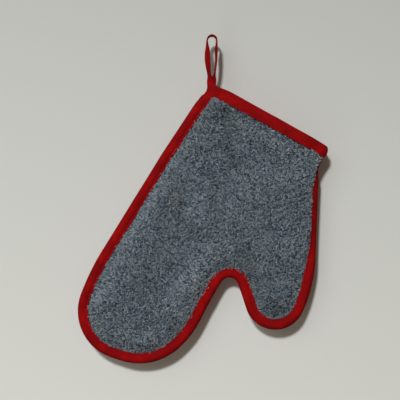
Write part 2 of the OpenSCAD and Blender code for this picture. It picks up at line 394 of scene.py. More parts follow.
def seam_frame(run):
    """For lengths along the edge: outer line of the seam, its inward direction, its front direction."""
    run = np.asarray(run, float)
    edge = np.stack([np.interp(run, RUN, EDGE[:, k]) for k in (0, 1)], -1)
    inward = np.stack([np.interp(run, RUN, INWARD[:, k]) for k in (0, 1)], -1)
    inward /= np.linalg.norm(inward, axis=-1)[..., None]
    angle = np.radians(np.interp(run, ROLL_RUN, ROLL_SOFT))
    cos, sin = np.cos(angle), np.sin(angle)
    reach = np.max([n * sin - a * cos for a, n in OUTSIDE], axis=0)
    hidden = smooth((angle - 1.05) / 0.45)
    from_end = EDGE_LENGTH - run
    tuck = 1.0 - smooth((from_end - 14) / 16) + 1.6 * (1 - smooth((from_end - 12) / 5))
    inwards = reach + 2.4 * hidden + tuck - np.interp(run, BULGE_AT, BULGE_BY)
    flat = np.concatenate([inward, np.zeros(run.shape + (1,))], -1)
    back = np.zeros(run.shape + (3,))
    back[..., 2] = 1
    origin = np.concatenate([edge, np.zeros(run.shape + (1,))], -1)
    origin = origin + inwards[..., None] * flat + (8.8 * sin)[..., None] * back
    cos, sin = cos[..., None], sin[..., None]
    return origin, cos * flat - sin * back, -cos * back - sin * flat, flat


def pinch(points):
    """The bar tack squeezes the corner that carries the loop."""
    near = (1 - smooth((points[..., 0] - 5) / 14)) * smooth((points[..., 1] + 26) / 16)
    squeezed = points.copy()
    squeezed[..., 2] *= 1 - 0.5 * near
    return squeezed


def tape_point(run, inset, front):
    """A point in the seam: inset from its outer line, and front mm towards its front side."""
    origin, inner, face, _ = seam_frame(run)
    return pinch(origin + inner * np.asarray(inset)[..., None] + face * np.asarray(front)[..., None])


def nearest_edge(uv):
    """For points on the pattern: the length along the edge nearest to each, and the distance."""
    uv = np.asarray(uv, float)
    run, gap = np.zeros(len(uv)), np.zeros(len(uv))
    for start in range(0, len(uv), 500):
        part = uv[start : start + 500]
        far = np.linalg.norm(part[:, None] - EDGE[None], axis=2)
        best = far.argmin(1)
        run[start : start + 500], gap[start : start + 500] = RUN[best], far.min(1)
    return run, gap


def drape(uv, side, depth=0.0):
    """Pattern points laid on the open hand. side is -1 front or 1 back; depth mm is measured inwards."""
    uv = np.asarray(uv, float)
    run, inset = nearest_edge(uv)
    origin, inner, face, flat = seam_frame(run)
    face = face * -side
    seam_half = SEAM_HALF - depth * 0.55
    mouth = 1 - smooth(-uv[:, 1] / 70)
    half = FULL_HALF - 1.6 * mouth - depth
    lip = origin + inner * BAND + face * seam_half
    full = np.concatenate([uv, (side * half)[:, None]], -1)
    edge = full - flat * inset[:, None]
    full = edge + flat * RISE_END
    t = np.clip((inset - BAND) / (RISE_END - BAND), 0, 1)[:, None]
    leave = (inner * 0.62 + face * 0.78) * 21
    arrive = flat * 15
    curve = (
        (2 * t**3 - 3 * t**2 + 1) * lip
        + (t**3 - 2 * t**2 + t) * leave
        + (3 * t**2 - 2 * t**3) * full
        + (t**3 - t**2) * arrive
    )
    band = origin + inner * inset[:, None] + face * seam_half
    beyond = np.concatenate([uv, (side * half)[:, None]], -1)
    inset = inset[:, None]
    return pinch(np.where(inset <= BAND, band, np.where(inset < RISE_END, curve, beyond)))

print("the tape shows", BAND, "mm on each face")

# %% [markdown]
# ## One cutting grid for every layer
# All the layers of a mitt are cut to one outline, so they share one triangle grid: rows that follow
# the edge where the seams are, and an even honeycomb inside. A constrained Delaunay triangulation
# joins the points without crossing the outline.

# %% The cutting grid
GRID = 4.0


def cutting_grid():
    """Points on the pattern and triangles between them."""
    rows = [1.4, 5.2, 9.0, 12.8, 16.6]
    wanted = []
    outer = EDGE + INWARD * rows[0]
    outer = outer[(outer[:, 1] < -1)]
    stride = int(GRID / EDGE_STEP)
    rim = outer[::stride]
    left, right = rim[-1][0], rim[0][0]
    mouth = np.linspace(left, right, int((right - left) / GRID) + 1)
    top = np.stack([mouth, np.full(len(mouth), -0.8)], -1)
    border = np.concatenate([top, rim[(rim[:, 1] < -3)]])
    for k, inset in enumerate(rows[1:]):
        line = (EDGE + INWARD * inset)[(stride // 2) * (k % 2) :: stride]
        wanted.append(line)
    low, high = EDGE.min(0), EDGE.max(0)
    pitch = GRID * math.sqrt(3) / 2
    for j, v in enumerate(np.arange(low[1], high[1], pitch)):
        u = np.arange(low[0] + (j % 2) * GRID / 2, high[0], GRID)
        wanted.append(np.stack([u, np.full(len(u), v)], -1))
    inner = np.concatenate(wanted)
    run, gap = nearest_edge(inner)
    rows_end = sum(len(w) for w in wanted[: len(rows) - 1])
    limit = np.where(np.arange(len(inner)) < rows_end, 0.0, rows[-1] + 3.2)
    limit[:rows_end] = np.repeat(rows[1:], [len(w) for w in wanted[: len(rows) - 1]]) - 0.3
    origin, inside = EDGE[np.searchsorted(RUN, run)], INWARD[np.searchsorted(RUN, run)]
    towards = ((inner - origin) * inside).sum(1)
    inner = inner[(gap > limit) & (towards > 0) & (inner[:, 1] < -3.4)]
    points = [Vector(p) for p in np.concatenate([border, inner])]
    n = len(border)
    made = geometry.delaunay_2d_cdt(points, [], [list(range(n))], 1, 1e-4)
    return np.array([v[:] for v in made[0]]), [tuple(f) for f in made[2]]


FLAT, TRIS = cutting_grid()
FLAT_RUN, FLAT_INSET = nearest_edge(FLAT)
turned = [
    (FLAT[b][0] - FLAT[a][0]) * (FLAT[c][1] - FLAT[a][1])
    - (FLAT[b][1] - FLAT[a][1]) * (FLAT[c][0] - FLAT[a][0])
    for a, b, c in TRIS
]
# hung as it is, a counter-clockwise triangle faces the front
TRIS = [t if s > 0 else t[::-1] for t, s in zip(TRIS, turned)]


# %% [markdown]
# ## Making pieces
# Every cloth piece is built from points and faces by one function, so that all of them are made alike.

# %% Turning points and faces into pieces
def mesh_piece(name, points, faces, material, uv=None):
    """A smooth-shaded mesh object from points in pattern mm. uv is one (x, y) for each face corner."""
    mesh = bpy.data.meshes.new(name)
    mesh.from_pydata([tuple(p) for p in hung(points)], [], [list(f) for f in faces])
    if uv is not None:
        layer = mesh.uv_layers.new(name="tape")
        layer.data.foreach_set("uv", np.asarray(uv, np.float32).ravel())
    mesh.materials.append(material)
    mesh.validate()
    mesh.shade_smooth()
    piece = bpy.data.objects.new(name, mesh)
    scene.collection.objects.link(piece)
    return piece


def rim_edges(faces):
    """The directed edges that belong to one face only."""
    seen = {}
    for face in faces:
        for a, b in zip(face, face[1:] + face[:1]):
            seen[(a, b)] = True
    return [e for e in seen if (e[1], e[0]) not in seen]


RIM = rim_edges(TRIS)


def layer_piece(name, outer, inner, side, material):
    """A closed layer of cloth between an outer and an inner sheet of the cutting grid."""
    n = len(outer)
    front = side < 0
    faces = [t if front else t[::-1] for t in TRIS]
    faces += [tuple(n + i for i in (t[::-1] if front else t)) for t in TRIS]
    for a, b in RIM:
        quad = (b, a, n + a, n + b)
        faces.append(quad if front else quad[::-1])
    return mesh_piece(name, np.concatenate([outer, inner]), faces, material)

print("piece maker is ready")

# %% [markdown]
# ## The panels take their shape
# Terry over wadding swells between its seams and puckers a little where the tape holds it short. That
# is what Blender's cloth solver is good at: the seam and the mouth are pinned, air pressure stands in
# for the wadding, and the cloth is let out by a few per cent so that it has slack to wrinkle with.

# %% Cloth simulation of both panels
SWELL_FRAMES = 24
MOST_MOVE = 5.0  # mm that a point may leave its place on the open hand


def swell(front, back):
    """The two panels after a short inflation, as points in pattern mm."""
    n = len(front)
    mesh = bpy.data.meshes.new("swelling")
    faces = list(TRIS) + [tuple(n + i for i in t[::-1]) for t in TRIS]
    both = np.concatenate([front, back])
    # pattern mm as scene decimetres: the solver is steadier when the cloth isn't tiny
    mesh.from_pydata([tuple(p / 100) for p in both], [], [list(f) for f in faces])
    body = bpy.data.objects.new("swelling", mesh)
    scene.collection.objects.link(body)
    held = np.clip(1 - (FLAT_INSET - 10.5) / 3, 0, 1)
    held = np.maximum(held, np.clip(1 - (-FLAT[:, 1] - 11) / 4, 0, 1))
    pins = body.vertex_groups.new(name="pins")
    for k, weight in enumerate(np.tile(held, 2)):
        pins.add([k], float(weight), "REPLACE")
    cloth = body.modifiers.new("cloth", "CLOTH")
    kit = cloth.settings
    kit.quality = 6
    kit.mass = 0.25
    kit.tension_stiffness = kit.compression_stiffness = 18
    kit.shear_stiffness = 6
    kit.bending_stiffness = 0.6
    kit.air_damping = 2
    kit.vertex_group_mass = "pins"
    kit.pin_stiffness = 1
    kit.use_pressure = True
    kit.uniform_pressure_force = 2.5
    kit.shrink_min = -0.035
    kit.effector_weights.gravity = 0
    cloth.collision_settings.use_collision = False
    cloth.point_cache.frame_start, cloth.point_cache.frame_end = 1, SWELL_FRAMES
    for step in range(1, SWELL_FRAMES + 1):
        scene.frame_set(step)
    seen = body.evaluated_get(bpy.context.evaluated_depsgraph_get())
    moved = np.array([v.co[:] for v in seen.data.vertices]) * 100
    scene.frame_set(1)
    bpy.data.objects.remove(body)
    shift = moved - both
    far = np.linalg.norm(shift, axis=1)
    shift *= (MOST_MOVE * np.tanh(far / MOST_MOVE) / np.maximum(far, 1e-9))[:, None]
    print(f"cloth moved {far.mean():.2f} mm on average and {far.max():.1f} at most")
    return shift[:n], shift[n:]


FRONT_GROUND, BACK_GROUND = drape(FLAT, -1), drape(FLAT, 1)
FRONT_SHIFT, BACK_SHIFT = swell(FRONT_GROUND, BACK_GROUND)

# %% [markdown]
# ## Folds from use
# A hand has stretched this mitt before, and its own weight pulls on one corner, so it hangs with a
# few broad soft folds. They are strokes across the pattern: where each starts and ends, how wide it
# is, and how deep it sinks or rises. A slow unevenness is added to them.

# %% Broad folds
FOLDS = [  # start u, v, end u, v, half width, depth in mm (sinks if positive)
    (30, -20, 65, -67, 6.3, 3),
    (16, -37, 15, -19, 14, 1.5),
    (4, -103, 17, -250, 11, -2),
    (29, -116, 46, -142, 6, 2.4),
    (50, -116, 58, -129, 11, -2.3),
    (85, -101, 91, -110, 9, -1.3),
    (65, -106, 86, -135, 5, 1.7),
    (59, -158, 98, -131, 5.5, 2.1),
    (93, -147, 75, -225, 10.5, -2.7),
    (117, -139, 148, -165, 9, 2.7),
    (154, -176, 187, -175, 8.5, 2.2),
    (36, -223, 45, -232, 7, 2.1),
    (81, -239, 90, -243, 8, 2.1),
    (144, -69, 150, -78, 7, 1.8),
    (76, -78, 132, -42, 6, -1.1),
    (8, -257, 33, -274, 8, -1.5),
    (69, -269, 80, -272, 8, -1.6),
    (73, -17, 123, -25, 12, -0.9),
    (37, -163, 52, -221, 6, 1.1),
]


def folded(uv, strength):
    """How far each pattern point sinks, from the strokes and from a slow unevenness."""
    sink = np.zeros(len(uv))
    for u0, v0, u1, v1, wide, depth in FOLDS:
        a, b = np.array([u0, v0], float), np.array([u1, v1], float)
        t = np.clip(((uv - a) @ (b - a)) / ((b - a) @ (b - a)), 0, 1)
        gap = np.linalg.norm(uv - a - t[:, None] * (b - a), axis=1)
        sink += depth * np.exp(-((gap / wide) ** 2)) * strength
    for wave, seed, depth in ((38, 4.2, 0.9), (15, 9.1, 1.1), (8, 2.7, 0.9)):
        sink += depth * np.array([noise.noise(Vector((u / wave, v / wave, seed))) for u, v in uv])
    return sink


free = smooth((FLAT_INSET - BAND) / 12) * smooth((-FLAT[:, 1] - 10) / 14)
FRONT_SINK, BACK_SINK = folded(FLAT, 1.0), folded(FLAT * (1, 0.97) + 7, 0.7)
FRONT_SHIFT[:, 2] += FRONT_SINK * free * 1.15
BACK_SHIFT[:, 2] -= BACK_SINK * free * 1.15
FRONT_GROUND = FRONT_GROUND + FRONT_SHIFT
BACK_GROUND = BACK_GROUND + BACK_SHIFT
print("front reaches", FRONT_GROUND[:, 2].min().round(1), "back", BACK_GROUND[:, 2].max().round(1), "mm")

# %% [markdown]
# ## Panels, wadding and linings
# Behind each terry face lie a thin needled wadding and a smooth lining. They show only inside the
# mouth, but each is its own closed piece, laid by the same function at its own depth, so that no
# layer cuts another.

# %% The sewn layers
DEPTHS = {"terry": (0.0, 0.9), "wadding": (1.2, 3.6), "lining": (3.9, 4.6)}
LAYERS = {}
for side, label, shift in ((-1, "front", FRONT_SHIFT), (1, "back", BACK_SHIFT)):
    for kind, material in (("terry", TERRY_GROUND_SHADED), ("wadding", WADDING), ("lining", LINING)):
        top, bottom = (drape(FLAT, side, depth) + shift for depth in DEPTHS[kind])
        LAYERS[label, kind] = layer_piece(f"{label}_{kind}_cloth", top, bottom, side, material)
print("layers", [o.name for o in LAYERS.values()])

# %% [markdown]
# ## The loop pile
# Thousands of loops repeat over the panels, which is a job for Geometry Nodes: points are spread at
# an even spacing, one bent loop of yarn is instanced on each, spun and leaned at random, and each
# loop keeps its own tone. A slow noise leans whole patches the same way, as a hand leaves them.

# %% The loop-pile node tree
SOCKETS = {"float": "NodeSocketFloat", "int": "NodeSocketInt", "material": "NodeSocketMaterial"}


def group(name, inputs):
    """An empty Geometry Nodes tree with a geometry in and out and the named inputs."""
    tree = bpy.data.node_groups.new(name, "GeometryNodeTree")
    face = tree.interface
    face.new_socket("Geometry", in_out="INPUT", socket_type="NodeSocketGeometry")
    face.new_socket("Geometry", in_out="OUTPUT", socket_type="NodeSocketGeometry")
    for label, kind in inputs:
        face.new_socket(label, in_out="INPUT", socket_type=SOCKETS[kind])
    return tree, add_node(tree, "NodeGroupInput").outputs, add_node(tree, "NodeGroupOutput")


def grown(source, tree, values, name):
    """The tree's result on a copy of source, as a plain mesh object."""
    carrier = bpy.data.objects.new(name + "_carrier", source)
    scene.collection.objects.link(carrier)
    modifier = carrier.modifiers.new(name, "NODES")
    modifier.node_group = tree
    for item in tree.interface.items_tree:
        if item.in_out == "INPUT" and item.name in values:
            modifier[item.identifier] = values[item.name]
    depsgraph = bpy.context.evaluated_depsgraph_get()
    mesh = bpy.data.meshes.new_from_object(carrier.evaluated_get(depsgraph), depsgraph=depsgraph)
    mesh.name = name
    bpy.data.objects.remove(carrier)
    piece = bpy.data.objects.new(name, mesh)
    scene.collection.objects.link(piece)
    return piece


def times(tree, value, factor):
    """A socket's value times a number."""
    return add_node(tree, "ShaderNodeMath", {"operation": "MULTIPLY"}, i0=value, i1=factor).outputs[0]


def yarn_loop(tree, sockets, lean, height_share):
    """One bent loop of yarn as an instance: a curve up and over, swept with a three-sided section."""
    width, height = sockets["Width"], sockets["Height"]
    over, peak = times(tree, height, lean), times(tree, height, 1.3 * height_share)
    ends = [
        add_node(tree, "ShaderNodeCombineXYZ", X=times(tree, width, x), Z=-0.0004).outputs[0]
        for x in (0.45, -0.45)
    ]
    tops = [
        add_node(tree, "ShaderNodeCombineXYZ", X=times(tree, width, x), Y=over, Z=peak).outputs[0]
        for x in (0.8, -0.8)
    ]
    bend = add_node(
        tree,
        "GeometryNodeCurvePrimitiveBezierSegment",
        {"mode": "POSITION"},
        Resolution=4,
        Start=ends[0],
        Start_Handle=tops[0],
        End_Handle=tops[1],
        End=ends[1],
    )
    along = add_node(tree, "GeometryNodeSplineParameter").outputs["Factor"]
    fold = add_node(tree, "ShaderNodeMath", {"operation": "PINGPONG"}, i0=along, i1=0.5).outputs[0]
    rise = add_node(tree, "ShaderNodeMath", {"operation": "MULTIPLY"}, i0=fold, i1=2.0).outputs[0]
    marked = add_node(
        tree,
        "GeometryNodeStoreNamedAttribute",
        {"domain": "POINT"},
        Geometry=bend.outputs[0],
        Name="tuft_rise",
        Value=rise,
    )
    section = add_node(tree, "GeometryNodeCurvePrimitiveCircle", Resolution=3, Radius=sockets["Yarn radius"])
    tube = add_node(
        tree,
        "GeometryNodeCurveToMesh",
        Curve=marked.outputs[0],
        Profile_Curve=section.outputs[0],
        Fill_Caps=True,
    )
    return add_node(tree, "GeometryNodeGeometryToInstance", Geometry=tube.outputs[0]).outputs[0]


def pile_tree():
    inputs = [("Spacing", "float"), ("Height", "float"), ("Width", "float"), ("Yarn radius", "float")]
    inputs += [("Seed", "int"), ("Finish", "material")]
    tree, sockets, out = group("loop_pile", inputs)
    spread = add_node(
        tree,
        "GeometryNodeDistributePointsOnFaces",
        {"distribute_method": "POISSON"},
        Mesh=sockets["Geometry"],
        Distance_Min=sockets["Spacing"],
        Density_Max=4.0e6,
        Seed=sockets["Seed"],
    )
    # the tape's edge hides the loops raggedly, within half a millimetre
    clear = add_node(tree, "GeometryNodeInputNamedAttribute", {"data_type": "FLOAT"}, Name="clear").outputs[0]
    ragged = add_node(
        tree, "FunctionNodeRandomValue", {"data_type": "FLOAT"}, i2=-0.5, i3=0.5, Seed=sockets["Seed"]
    ).outputs[1]
    under = add_node(
        tree, "FunctionNodeCompare", {"data_type": "FLOAT", "operation": "LESS_THAN"}, i0=clear, i1=ragged
    )
    shown = add_node(
        tree,
        "GeometryNodeDeleteGeometry",
        {"domain": "POINT"},
        Geometry=spread.outputs["Points"],
        Selection=under.outputs[0],
    )
    loops = add_node(tree, "GeometryNodeJoinGeometry")
    for lean, share in ((0.25, 1.0), (0.8, 0.8)):
        tree.links.new(yarn_loop(tree, sockets, lean, share), loops.inputs[0])
    pick = add_node(tree, "FunctionNodeRandomValue", {"data_type": "INT"}, i4=0, i5=1, Seed=sockets["Seed"])
    # a slow noise makes neighbours lean together, and each loop adds its own random turn
    place = add_node(tree, "GeometryNodeInputPosition").outputs[0]
    drift = add_node(
        tree, "ShaderNodeTexNoise", {"noise_dimensions": "3D"}, Vector=place, Scale=MM / 16, Detail=2.0
    )
    centred = add_node(
        tree, "ShaderNodeVectorMath", {"operation": "SUBTRACT"}, i0=drift.outputs["Color"], i1=(0.5, 0.5, 0.5)
    ).outputs[0]
    lean_way = add_node(
        tree, "ShaderNodeVectorMath", {"operation": "SCALE"}, i0=centred, Scale=2.6
    ).outputs[0]
    jitter = add_node(
        tree,
        "FunctionNodeRandomValue",
        {"data_type": "FLOAT_VECTOR"},
        i0=(-0.42, -0.42, -0.42),
        i1=(0.42, 0.42, 0.42),
        Seed=sockets["Seed"],
    )
    upright = add_node(
        tree, "ShaderNodeVectorMath", {"operation": "ADD"}, i0=spread.outputs["Normal"], i1=jitter.outputs[0]
    ).outputs[0]
    stands = add_node(tree, "ShaderNodeVectorMath", {"operation": "ADD"}, i0=upright, i1=lean_way).outputs[0]
    aligned = add_node(tree, "FunctionNodeAlignRotationToVector", {"axis": "Z"}, Vector=stands).outputs[0]
    spin = add_node(
        tree, "FunctionNodeRandomValue", {"data_type": "FLOAT"}, i2=0.0, i3=2 * math.pi, Seed=sockets["Seed"]
    )
    about = add_node(tree, "ShaderNodeCombineXYZ", Z=spin.outputs[1]).outputs[0]
    local = add_node(tree, "FunctionNodeEulerToRotation", Euler=about).outputs[0]
    turned_to = add_node(
        tree, "FunctionNodeRotateRotation", {"rotation_space": "LOCAL"}, Rotation=aligned, Rotate_By=local
    ).outputs[0]
    size = add_node(
        tree,
        "FunctionNodeRandomValue",
        {"data_type": "FLOAT_VECTOR"},
        i0=(0.75, 0.75, 0.72),
        i1=(1.3, 1.3, 1.22),
        Seed=sockets["Seed"],
    )
    placed = add_node(
        tree,
        "GeometryNodeInstanceOnPoints",
        Points=shown.outputs[0],
        Instance=loops.outputs[0],
        Pick_Instance=True,
        Instance_Index=pick.outputs[2],
        Rotation=turned_to,
        Scale=size.outputs[0],
    )
    # loops that stick together in tufts of 1 to 2 mm are light or dark together
    own = add_node(
        tree, "FunctionNodeRandomValue", {"data_type": "FLOAT"}, i2=-0.3, i3=0.3, Seed=sockets["Seed"]
    )
    tuft = add_node(
        tree, "ShaderNodeTexNoise", {"noise_dimensions": "3D"}, Vector=place, Scale=MM / 1.7, Detail=0.0
    )
    shared = add_node(
        tree, "ShaderNodeMapRange", {"clamp": False}, Value=tuft.outputs["Fac"], From_Min=0.3, From_Max=0.7
    ).outputs[0]
    tone = add_node(tree, "ShaderNodeMath", {"operation": "ADD"}, i0=own.outputs[1], i1=shared)
    toned = add_node(
        tree,
        "GeometryNodeStoreNamedAttribute",
        {"domain": "INSTANCE"},
        Geometry=placed.outputs[0],
        Name="tuft_tone",
        Value=tone.outputs[0],
    )
    real = add_node(tree, "GeometryNodeRealizeInstances", Geometry=toned.outputs[0])
    finish = add_node(tree, "GeometryNodeSetMaterial", Geometry=real.outputs[0], Material=sockets["Finish"])
    tree.links.new(finish.outputs[0], out.inputs[0])
    return tree


PILE = pile_tree()
print("pile tree has", len(PILE.nodes), "nodes")

# %% [markdown]
# ## Pile, zone by zone
# The pile is grown on the ground cloth between the tapes, in six zones a side, so that no one mesh
# gets too heavy. Each point knows how clear of the tapes it is, so that no loop grows under them. At the
# crotch of the thumb the pile is let crowd over the tape.

# %% Growing the pile
PILE_FROM = BAND + 0.3  # mm from the edge where loops start to show past the tape
CUFF_DEPTH = 12.0
CROTCH_U = 113.0
ZONES = {  # name: (condition on u, v)
    "upper_palm": lambda u, v: v > -66,
    "middle_palm": lambda u, v: (v <= -66) & (v > -110),
    "lower_palm": lambda u, v: (v <= -110) & (v > -152),
    "knuckles": lambda u, v: (v <= -152) & (v > -218) & (u < CROTCH_U),
    "fingertips": lambda u, v: (v <= -218) & (u < CROTCH_U),
    "thumb": lambda u, v: (v <= -152) & (u >= CROTCH_U),
}
PILE_SIZES = {"Spacing": 1.0 / MM, "Height": 3.0 / MM, "Width": 1.4 / MM, "Yarn radius": 0.36 / MM}


CROTCH_RUN = 298.0  # mm along the edge: there the pile crowds over the tape
crowd = 1.7 * np.exp(-(((FLAT_RUN - CROTCH_RUN) / 38) ** 2))
CLEAR = np.minimum(FLAT_INSET - PILE_FROM + crowd, -FLAT[:, 1] - CUFF_DEPTH - 0.35)


def growing_ground(label, ground, sink, side, zone):
    """The part of a panel where one zone's loops grow, with how clear of the tapes each point is and how deep
    it sinks in a fold, for the loops' painted fold shade.
    """
    corners = np.array(TRIS)
    centre = FLAT[corners].mean(1)
    keep = (CLEAR[corners].max(1) > -0.5) & ZONES[zone](centre[:, 0], centre[:, 1])
    faces = [TRIS[k] for k in np.nonzero(keep)[0]]
    faces = faces if side < 0 else [f[::-1] for f in faces]
    used = sorted({i for f in faces for i in f})
    index = {old: new for new, old in enumerate(used)}
    mesh = bpy.data.meshes.new(f"{label}_{zone}_ground")
    mesh.from_pydata([tuple(p) for p in hung(ground[used])], [], [[index[i] for i in f] for f in faces])
    for key, values in (("clear", CLEAR), ("painted_fold_shade", sink)):
        mesh.attributes.new(key, "FLOAT", "POINT").data.foreach_set("value", values[used].astype(np.float32))
    return mesh


PILES = {"front": [], "back": []}
total = 0
faces_of_mitt = ((-1, "front", FRONT_GROUND, FRONT_SINK), (1, "back", BACK_GROUND, BACK_SINK))
for side, label, ground, sink in faces_of_mitt:
    for k, zone in enumerate(ZONES):
        base = growing_ground(label, ground, sink, side, zone)
        values = {**PILE_SIZES, "Seed": 11 + 7 * k + 40 * (side > 0), "Finish": TERRY_LOOP}
        piece = grown(base, PILE, values, f"{label}_pile_{zone}")
        piece.data.shade_smooth()
        piece.data.calc_loop_triangles()
        total += len(piece.data.loop_triangles)
        print(piece.name, len(piece.data.loop_triangles), "triangles")
        PILES[label].append(piece)
print("pile in all", total, "triangles")

# %% [markdown]
# ## Sweeping a folded tape
# Bias tape is one section carried along a path, so a helper skins a row of rings into a closed tube
# and lays the tape's own length and width down as a UV map for the weave to follow.


# %% Skinning rings
def skin(name, rings, material, loop=False):
    """A closed mesh through rings of points (station, around, 3); loop joins the last to the first."""
    rings = np.asarray(rings, float)
    count, around = rings.shape[:2]
    middle = rings.mean(1)
    length = np.r_[0, np.cumsum(np.linalg.norm(np.diff(middle, axis=0), axis=1))]
    widths = np.linalg.norm(np.diff(np.concatenate([rings, rings[:, :1]], 1), axis=1), axis=2).mean(0)
    across = np.r_[0, np.cumsum(widths)]
    faces, uv = [], []
    step = np.linalg.norm(middle[0] - middle[-1]) if loop else 0
    length = np.r_[length, length[-1] + step]
    for i in range(count if loop else count - 1):
        for j in range(around):
            a, b, k = i, (i + 1) % count, (j + 1) % around
            faces.append((a * around + j, a * around + k, b * around + k, b * around + j))
            for s, t in ((i, j), (i, j + 1), (i + 1, j + 1), (i + 1, j)):
                uv.append((length[s] / 10, across[t] / 10))
    if not loop:
        for i, order in ((0, -1), (count - 1, 1)):
            cap = [i * around + j for j in range(around)][::order]
            faces.append(tuple(cap))
            uv += [(length[i] / 10, 0.0)] * around
    piece = mesh_piece(name, rings.reshape(-1, 3), faces, material, uv)
    return piece


def face_out(piece):
    """Turns a closed mesh's faces outwards."""
    work = bmesh.new()
    work.from_mesh(piece.data)
    bmesh.ops.recalc_face_normals(work, faces=work.faces)
    work.to_mesh(piece.data)
    work.free()
    return piece

print("ring skinning is ready")

# %% [markdown]
# ## The side binding
# The tape is folded over the edge and sewn through, 1.5 mm from its inner fold. The needle pulls a
# small dimple at each stitch, the tape swells between the stitches and the edge, its inner fold
# wanders, and round the tight outer curves it gathers into tiny pleats.

# %% Side binding
STITCH = 3.0
SEW_IN = 9.4
INSIDE = [(10.5, 3.3), (9.4, 3.35), (8.0, 3.7), (5.2, 3.95), (3.4, 3.7), (2.2, 2.7), (1.3, 1.3), (1.1, 0.0)]


def folded_section():
    """The tape's section, as inset and front distance: outside front to back, then inside again."""
    outside = OUTSIDE + [(a, -n) for a, n in OUTSIDE[-2::-1]]
    inside = INSIDE + [(a, -n) for a, n in INSIDE[-2::-1]]
    return np.array(outside + inside[::-1])


def edge_bend():
    """How sharply the outline curves outwards at each of its points, per mm."""
    heading = np.unwrap(np.arctan2(INWARD[:, 1], INWARD[:, 0]))
    return np.abs(np.convolve(np.gradient(heading, RUN), np.ones(15) / 15, "same"))


def side_binding():
    section = folded_section()
    first, last = 10.8, EDGE_LENGTH - 10.8
    run = np.linspace(first, last, int((last - first) / 1.0) + 1)
    puff, hem, swing = wander(run, 17, 1.0), wander(run, 9, 2.0), wander(run, 11, 3.0)
    gather = np.interp(run, RUN, edge_bend()) * 30
    rings = []
    for j, (inset, front) in enumerate(section):
        side = np.sign(front) if abs(front) > 0.1 else 0.0
        near_sewing = math.exp(-(((inset - SEW_IN) / 0.9) ** 2))
        on_face = smooth((inset - 1) / 3) * (1 if j < 2 * len(OUTSIDE) - 1 else 0)
        dimple = near_sewing * 0.28 * (0.5 + 0.5 * np.cos(2 * math.pi * run / STITCH))
        pleat = gather * 0.35 * np.sin(2 * math.pi * run / 5.3 + 3 * swing) * smooth((inset - 3) / 5)
        n = front + side * on_face * (0.22 * puff - dimple + 0.24 * pleat)
        a = inset + (hem * 0.45 * smooth((inset - 8.8) / 1.5)) + 0.12 * puff * (inset < 1.5)
        rings.append(tape_point(run, a, n))
    return skin("side_binding_tape", np.stack(rings, 1), TAPE)


SIDE_TAPE = face_out(side_binding())
print("side binding", len(SIDE_TAPE.data.polygons), "faces")

# %% [markdown]
# ## The cuff binding
# The mouth is bound last, over the ends of the side binding. Its outer leaf is one closed band round
# the mouth, its inner leaf lies in the pocket, and a short web closes the top over the seam's ends.


# %% Cuff binding
def mouth_section(v, offset, count=150):
    """A closed loop round the mouth at height v: along the front, round the end, and back."""
    left = np.interp(v, [-92, -14, 0], [-7, 0, 1])
    u = left + 0.3 + (144.4 - left) * smooth(np.linspace(0, 1, count))
    level = np.full(count, v)
    front = drape(np.stack([u, level], -1), -1)
    back = drape(np.stack([u, level], -1), 1)
    loop = np.concatenate([front, back[::-1]])
    ahead = np.roll(loop, -1, 0) - np.roll(loop, 1, 0)
    out = np.stack([ahead[:, 2], -ahead[:, 0]], -1)
    out /= np.linalg.norm(out, axis=1)[:, None] + 1e-9
    for _ in range(6):
        out = (np.roll(out, 1, 0) + 2 * out + np.roll(out, -1, 0)) / 4
        out /= np.linalg.norm(out, axis=1)[:, None]
    moved = loop.copy()
    moved[:, 0] = np.maximum(loop[:, 0] + out[:, 0] * offset, left - 0.2)
    moved[:, 2] += out[:, 1] * offset
    moved[:, 1] = v
    return moved


def pocket_section(v, inward, count=150):
    """The loop inside the pocket that the inner leaf follows."""
    u = 13 + 119 * smooth(np.linspace(0, 1, count))
    level = np.full(count, v)
    front = drape(np.stack([u, level], -1), -1)
    back = drape(np.stack([u, level], -1), 1)
    middle, half = (front + back) / 2, np.maximum((back - front)[:, 2] / 2 - inward, 0.35)
    a, b = middle.copy(), middle.copy()
    a[:, 2] -= half
    b[:, 2] += half
    loop = np.concatenate([a, b[::-1]])
    loop[:, 1] = v
    return loop


